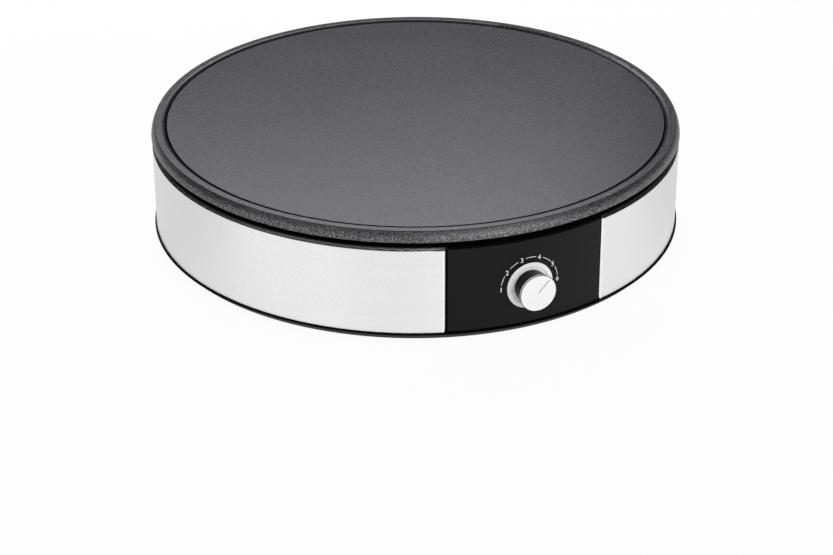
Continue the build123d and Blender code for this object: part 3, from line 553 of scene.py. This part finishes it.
def stripedLead():
    look = stripeLook
    s = Shader("silicone_green_yellow")
    place = s.place()
    x, z = s.axes(place, "XZ")
    wave = s.maths("PINGPONG", x * look["slant"] + z, look["spacing"])
    fine = s.noise(place, look["grainScale"])
    return s.surface(
        baseColor=s.blend(s.rise(wave, *look["stripe"]), look["green"], look["yellow"]),
        roughness=fine.around(look["roughness"], look["roughReach"]),
    )


dress(stripedLead(), "earth_lead")
print("inner finishes done")

# Printed dial marks: numbers 1 to 6 and the arcs between them, on the curved panel
markLook = {
    "ringRadius": 0.01897,
    "step": 35.7,             # degrees between numbers, the middle of the ring at the top
    "digitHeight": 0.0031,
    "fontSize": 1.45,         # in digit heights, before a number is brought to its height
    "fontSteps": 6,           # pieces in each curve of a number
    "arcRadius": 0.0191,
    "arcStart": 8.3,          # degrees past a number
    "arcLength": 20.3,
    "arcWidth": 0.00032,
    "arcPieces": 16,
    "panelRadius": 0.17275,
    "lift": 0.00003,          # print above the panel's face
    "colour": (0.95, 0.95, 0.95),
    "thin": 0.93,             # share of the colour where the ink is thin
    "grainScale": 3000.0,
    "roughness": 0.5,
    "roughReach": 0.1,
    "numbers": "123456",
}


def printInk():
    look = markLook
    s = Shader("white_print")
    fine = s.noise(s.place(), look["grainScale"])
    low = tuple(c * look["thin"] for c in look["colour"])
    return s.surface(
        baseColor=s.blend(fine, low, look["colour"]),
        roughness=fine.around(look["roughness"], look["roughReach"]),
    )


def onPanel(across, up):
    # a point of the dial, from the knob's axis, laid on the panel's face
    radius = markLook["panelRadius"] + markLook["lift"]
    return Vector((across, -math.sqrt(radius ** 2 - across ** 2), dialLook["axisHeight"] + up))


def dialPoint(radius, turn):
    return radius * math.sin(math.radians(turn)), radius * math.cos(math.radians(turn))


def addPiece(name, verts, faces, material, body):
    mesh = bpy.data.meshes.new(name)
    mesh.from_pydata([tuple(v) for v in verts], [], faces)
    mesh.update()
    mesh.materials.append(material)
    piece = bpy.data.objects.new(name, mesh)
    bpy.context.scene.collection.objects.link(piece)
    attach(piece, body)


def numberMesh(text):
    # a number's flat shape, centred and brought to its height
    curve = bpy.data.curves.new("number", "FONT")
    curve.body = text
    curve.size = markLook["digitHeight"] * markLook["fontSize"]
    curve.align_x = "CENTER"
    curve.resolution_u = markLook["fontSteps"]
    holder = bpy.data.objects.new("number", curve)
    bpy.context.scene.collection.objects.link(holder)
    bpy.context.view_layer.update()
    mesh = bpy.data.meshes.new_from_object(holder)
    verts = [v.co.copy() for v in mesh.vertices]
    faces = [tuple(p.vertices) for p in mesh.polygons]
    bpy.data.objects.remove(holder)
    low = Vector([min(v[i] for v in verts) for i in range(2)])
    high = Vector([max(v[i] for v in verts) for i in range(2)])
    middle = (low + high) / 2
    scale = markLook["digitHeight"] / (high.y - low.y)
    return [((v.x - middle.x) * scale, (v.y - middle.y) * scale) for v in verts], faces


def numberTurn(index):
    return (index - (len(markLook["numbers"]) - 1) / 2) * markLook["step"]


def dialNumbers(ink):
    verts, faces = [], []
    for index, text in enumerate(markLook["numbers"]):
        across, up = dialPoint(markLook["ringRadius"], numberTurn(index))
        flat, loops = numberMesh(text)
        start = len(verts)
        verts += [onPanel(across + x, up + y) for x, y in flat]
        faces += [tuple(start + i for i in loop) for loop in loops]
    addPiece("dial_numbers", verts, faces, ink, "drum")


def dialArcs(ink):
    look = markLook
    verts, faces = [], []
    for index in range(len(look["numbers"]) - 1):
        begin = numberTurn(index) + look["arcStart"]
        start = len(verts)
        for piece in range(look["arcPieces"] + 1):
            turn = begin + look["arcLength"] * piece / look["arcPieces"]
            for side in (-0.5, 0.5):
                verts.append(onPanel(*dialPoint(look["arcRadius"] + side * look["arcWidth"], turn)))
        for piece in range(look["arcPieces"]):
            a = start + 2 * piece
            faces.append((a, a + 2, a + 3, a + 1))
    addPiece("dial_arcs", verts, faces, ink, "drum")


dialInk = printInk()
dialNumbers(dialInk)
dialArcs(dialInk)
print("dial marks done")

# Floor, room and lamps
stageLook = {
    "floorSize": 9.0,
    "floorColour": (0.86, 0.86, 0.86),
    "plainColour": (1.0, 1.0, 1.0),
    "floorShown": 0.95,       # share of the plain colour that the camera sees
    "mirrorShown": 0.95,      # share of the next two that reflections see
    "frontColour": (1.0, 1.0, 1.0),       # of the floor before the object, the lit end of a painted fall-off that only reflections see
    "paintedFloorShade": (0.80, 0.80, 0.80),     # painted shade on the floor beside and behind it, seen only in reflections
    "frontTurn": -104.0,      # the way to the bright side of the floor, degrees round from +X
    "frontReach": 0.17,       # metres from the middle to where the floor is brightest
    "skyLow": 0.04,           # the room just above the floor
    "skyHigh": 0.28,          # and overhead
    "skyTurn": 0.6,           # how far up the change reaches, as the height of a direction
}

lampLook = {
    # size in metres, watts, degrees round from +X, height, and distance along the floor
    "key_light": {"size": (1.0, 0.55), "power": 14.0, "turn": 76.5, "height": 1.02, "distance": 1.1},
    "top_light": {"size": (1.6, 1.6), "power": 4.0, "turn": 90.0, "height": 1.7, "distance": 0.3},
    "front_light": {"size": (1.4, 0.9), "power": 17.5, "turn": -80.0, "height": 0.60, "distance": 1.7},
    "fill_light": {"size": (2.0, 1.2), "power": 5.0, "turn": -128.0, "height": 0.95, "distance": 1.6},
    "left_light": {"size": (1.6, 0.9), "power": 4.0, "turn": -165.0, "height": 0.60, "distance": 1.7},
}
lampAim = (0.0, 0.0, 0.05)


def buildFloor():
    look = stageLook
    half = look["floorSize"] / 2
    corners = [(-half, -half, 0), (half, -half, 0), (half, half, 0), (-half, half, 0)]
    mesh = bpy.data.meshes.new("floor")
    mesh.from_pydata(corners, [], [(0, 1, 2, 3)])
    s = Shader("studio_floor")
    camera, glossy = [s.node("ShaderNodeLightPath", out=f"Is {kind} Ray") for kind in ("Camera", "Glossy")]
    x, y = s.axes(s.place(), "XY")
    turn = math.radians(look["frontTurn"])
    # painted fall-off of light on the floor: shade at the sides and back, full white in front, for
    # reflections only
    ahead = s.rise(x * math.cos(turn) + y * math.sin(turn), 0.0, look["frontReach"])
    paintedFloorFalloff = s.blend(ahead, look["paintedFloorShade"], look["frontColour"])
    seen = s.maths("MAXIMUM", camera * look["floorShown"], glossy * look["mirrorShown"])
    paint = s.node("ShaderNodeBsdfDiffuse", None, {"Color": (*look["floorColour"], 1.0)})
    white = s.node("ShaderNodeEmission", None, {"Color": s.blend(glossy, look["plainColour"], paintedFloorFalloff)})
    mesh.materials.append(s.finish(s.layered(seen, paint, white)))
    floor = bpy.data.objects.new("floor", mesh)
    bpy.context.scene.collection.objects.link(floor)


def buildSky():
    # a pale room that darkens overhead, seen by the camera as plain white
    look = stageLook
    world = bpy.data.worlds.new("studio")
    bpy.context.scene.world = world
    s = Shader("studio", world)
    [z] = s.axes(s.node("ShaderNodeTexCoord", out="Generated"), "Z")
    level = look["skyLow"] + s.rise(z, 0.0, look["skyTurn"]) * (look["skyHigh"] - look["skyLow"])
    kinds = ("Camera", "Transmission")
    camera, clear = [s.node("ShaderNodeLightPath", out=f"Is {kind} Ray") for kind in kinds]
    seen = s.maths("MAXIMUM", camera, clear)
    sky = s.node("ShaderNodeBackground", None, {"Strength": level + seen * (1 - level)})
    s.node("ShaderNodeOutputWorld", None, {"Surface": sky})


def softbox(name, size, power, turn, height, distance):
    lamp = bpy.data.lights.new(name, "AREA")
    lamp.shape = "RECTANGLE"
    lamp.size, lamp.size_y = size
    lamp.energy = power
    holder = bpy.data.objects.new(name, lamp)
    bpy.context.scene.collection.objects.link(holder)
    angle = math.radians(turn)
    holder.location = (distance * math.cos(angle), distance * math.sin(angle), height)
    holder.rotation_euler = (Vector(lampAim) - holder.location).to_track_quat("-Z", "Y").to_euler()
    holder.visible_camera = False


buildFloor()
buildSky()
for lampName, settings in lampLook.items():
    softbox(lampName, **settings)

cameraLook = {
    "turn": 23.65,            # degrees, the knob to the right of the view's middle
    "tilt": 28.04,            # degrees down
    "roll": -0.14,
    "distance": 1.5449,       # from the middle of the plate's rim
    "focal": 2350.0,          # pixels, in a view this wide
    "width": 833.0,
    "sensor": 36.0,           # millimetres
    "rimHeight": 0.075,
    "rimAcross": -1.0,        # pixels from the view's middle to the rim's
    "rimUp": 164.0,
}


def buildCamera():
    look = cameraLook
    tilt, roll, turn = [math.radians(look[k]) for k in ("tilt", "roll", "turn")]
    ahead = Vector((0.0, math.cos(tilt), -math.sin(tilt)))
    level = Vector((1.0, 0.0, 0.0))
    rise = level.cross(ahead)
    right = math.cos(roll) * level + math.sin(roll) * rise
    up = math.cos(roll) * rise - math.sin(roll) * level
    offset = (look["rimAcross"] * right + look["rimUp"] * up) / look["focal"]
    place = -look["distance"] * (ahead + offset)
    back = Matrix.Rotation(-turn, 3, "Z")
    camera = bpy.data.cameras.new("camera")
    camera.sensor_width = look["sensor"]
    camera.lens = look["focal"] * look["sensor"] / look["width"]
    holder = bpy.data.objects.new("camera", camera)
    bpy.context.scene.collection.objects.link(holder)
    axes = Matrix((back @ right, back @ up, back @ -ahead)).transposed().to_4x4()
    rimMiddle = Vector((0.0, 0.0, look["rimHeight"]))
    holder.matrix_world = Matrix.Translation(back @ place + rimMiddle) @ axes
    bpy.context.scene.camera = holder


buildCamera()
bpy.context.scene.view_settings.view_transform = "Standard"
print("stage done")
